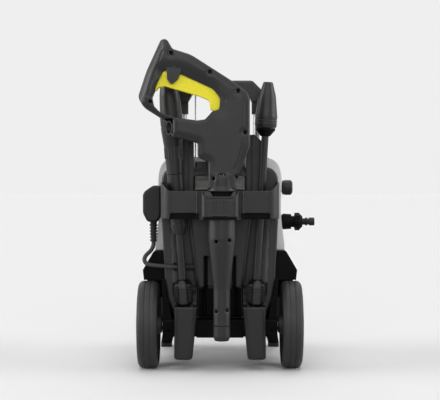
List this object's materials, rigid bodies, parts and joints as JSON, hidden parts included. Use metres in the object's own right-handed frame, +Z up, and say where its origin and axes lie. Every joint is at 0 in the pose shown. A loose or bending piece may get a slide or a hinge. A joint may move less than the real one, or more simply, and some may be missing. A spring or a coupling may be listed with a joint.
{
  "type": "pressure washer",
  "caption": "Upright wheeled electric pressure washer with a trigger gun, two spray lances in a rear holder and a telescopic handle.",
  "frame": {"origin": "on the ground, midway between the two wheels, under the axle", "axes": "+Z up, -Y towards the back with the gun and lances, +X towards the water and pressure connectors"},
  "size_m": [0.326, 0.424, 0.5776],
  "materials": {
    "charcoal": "charcoal grained polypropylene",
    "black": "black grained polypropylene",
    "casing": "pale grey satin polypropylene",
    "wheel": "charcoal wheel plastic",
    "trigger": "yellow satin plastic",
    "tube": "satin anodised tube",
    "steel": "zinc plated steel",
    "brass": "machined brass",
    "alloy": "die cast aluminium",
    "motor": "black varnished laminations",
    "rubber": "black rubber",
    "cord": "dark grey rubber sheath",
    "pin": "brass pins"
  },
  "bodies": {
    "machine": {"rear_housing": "charcoal", "front_housing": "casing", "base_frame": "black", "front_feet": "rubber", "axle": "steel", "axle_clips": "steel", "accessory_holder": "charcoal", "guide_left": "charcoal", "guide_right": "charcoal", "pressure_outlet": "black", "inlet_stub": "black", "inlet_nipple": "black", "plug_body": "black", "plug_pins": "pin", "plug_boot": "rubber", "power_cord": "cord", "cord_gland": "rubber", "motor_stator": "motor", "pump_case": "alloy", "pump_head": "alloy", "capacitor": "alloy", "switch_box": "black", "switch_bezel": "black"},
    "left_wheel": {"wheel_left": "wheel", "hub_cap_left": "black"},
    "right_wheel": {"wheel_right": "wheel", "hub_cap_right": "black"},
    "handle": {"handle_tube_left": "tube", "handle_tube_right": "tube", "handle_grip": "charcoal", "latch_rod": "steel"},
    "release_button": {"handle_button": "black"},
    "gun": {"gun_shell_outer": "charcoal", "gun_shell_inner": "charcoal", "gun_screws": "steel", "trigger_pin": "steel", "gun_valve": "brass", "gun_pipe": "steel", "hose_socket": "black", "gun_bayonet": "charcoal"},
    "gun_trigger": {"trigger": "trigger"},
    "gun_lock": {"trigger_lock": "black"},
    "vario_lance": {"vario_grip": "charcoal", "vario_pipe": "charcoal", "vario_body": "charcoal"},
    "vario_tip": {"vario_head": "charcoal", "vario_nozzle": "brass"},
    "rotor_lance": {"rotor_grip": "charcoal", "rotor_pipe": "charcoal", "rotor_neck": "black", "rotor_cap": "charcoal"},
    "rotor_nozzle": {"rotor_core": "brass"},
    "outlet_release": {"outlet_collar": "black"},
    "inlet_union": {"inlet_nut": "black"},
    "power_switch": {"switch_knob": "black"},
    "motor": {"motor_rotor": "steel", "swash_plate": "steel"}
  },
  "joints": [
    {"name": "left_wheel_spin", "type": "hinge", "parent": "machine", "child": "left_wheel", "pos_m": [-0.11, 0, 0.078], "axis": [1, 0, 0], "continuous": true},
    {"name": "right_wheel_spin", "type": "hinge", "parent": "machine", "child": "right_wheel", "pos_m": [0.11, 0, 0.078], "axis": [1, 0, 0], "continuous": true},
    {"name": "handle_pull", "type": "slide", "parent": "machine", "child": "handle", "axis": [0, 0, 1], "range_m": [0, 0.2]},
    {"name": "release_press", "type": "slide", "parent": "handle", "child": "release_button", "axis": [0, 0, -1], "range_m": [0, 0.004], "stiffness_N_per_m": 600, "springref_m": -0.002},
    {"name": "gun_lift", "type": "slide", "parent": "machine", "child": "gun", "axis": [0, 0, 1], "range_m": [0, 0.28]},
    {"name": "trigger_pull", "type": "hinge", "parent": "gun", "child": "gun_trigger", "pos_m": [0.012, -0.098, 0.47], "axis": [0, 1, 0], "range_deg": [0, 7], "stiffness_Nm_per_rad": 2, "springref_deg": -8.59},
    {"name": "lock_turn", "type": "hinge", "parent": "gun", "child": "gun_lock", "pos_m": [-0.078, -0.098, 0.529], "axis": [0, 1, 0], "range_deg": [0, 12]},
    {"name": "vario_lance_lift", "type": "slide", "parent": "machine", "child": "vario_lance", "axis": [-0.068, -0.0435, 0.9967], "range_m": [0, 0.25]},
    {"name": "vario_turn", "type": "hinge", "parent": "vario_lance", "child": "vario_tip", "pos_m": [-0.07989, -0.04506, 0.36], "axis": [-0.068, -0.0435, 0.9967], "range_deg": [0, 150]},
    {"name": "rotor_lance_lift", "type": "slide", "parent": "machine", "child": "rotor_lance", "axis": [0.0558, -0.0436, 0.9975], "range_m": [0, 0.25]},
    {"name": "rotor_spin", "type": "hinge", "parent": "rotor_lance", "child": "rotor_nozzle", "pos_m": [0.08181, -0.04942, 0.45998], "axis": [0.0558, -0.0436, 0.9975], "continuous": true},
    {"name": "outlet_release_press", "type": "slide", "parent": "machine", "child": "outlet_release", "axis": [-1, 0, 0], "range_m": [0, 0.0025], "stiffness_N_per_m": 400, "springref_m": -0.002},
    {"name": "inlet_union_turn", "type": "hinge", "parent": "machine", "child": "inlet_union", "pos_m": [0.1388, 0.08, 0.2605], "axis": [1, 0, 0], "continuous": true},
    {"name": "switch_turn", "type": "hinge", "parent": "machine", "child": "power_switch", "pos_m": [0, 0.284, 0.3], "axis": [0, 1, 0], "range_deg": [0, 90]},
    {"name": "motor_spin", "type": "hinge", "parent": "machine", "child": "motor", "pos_m": [0, 0.112, 0.132], "axis": [0, 0, 1], "continuous": true}
  ]
}
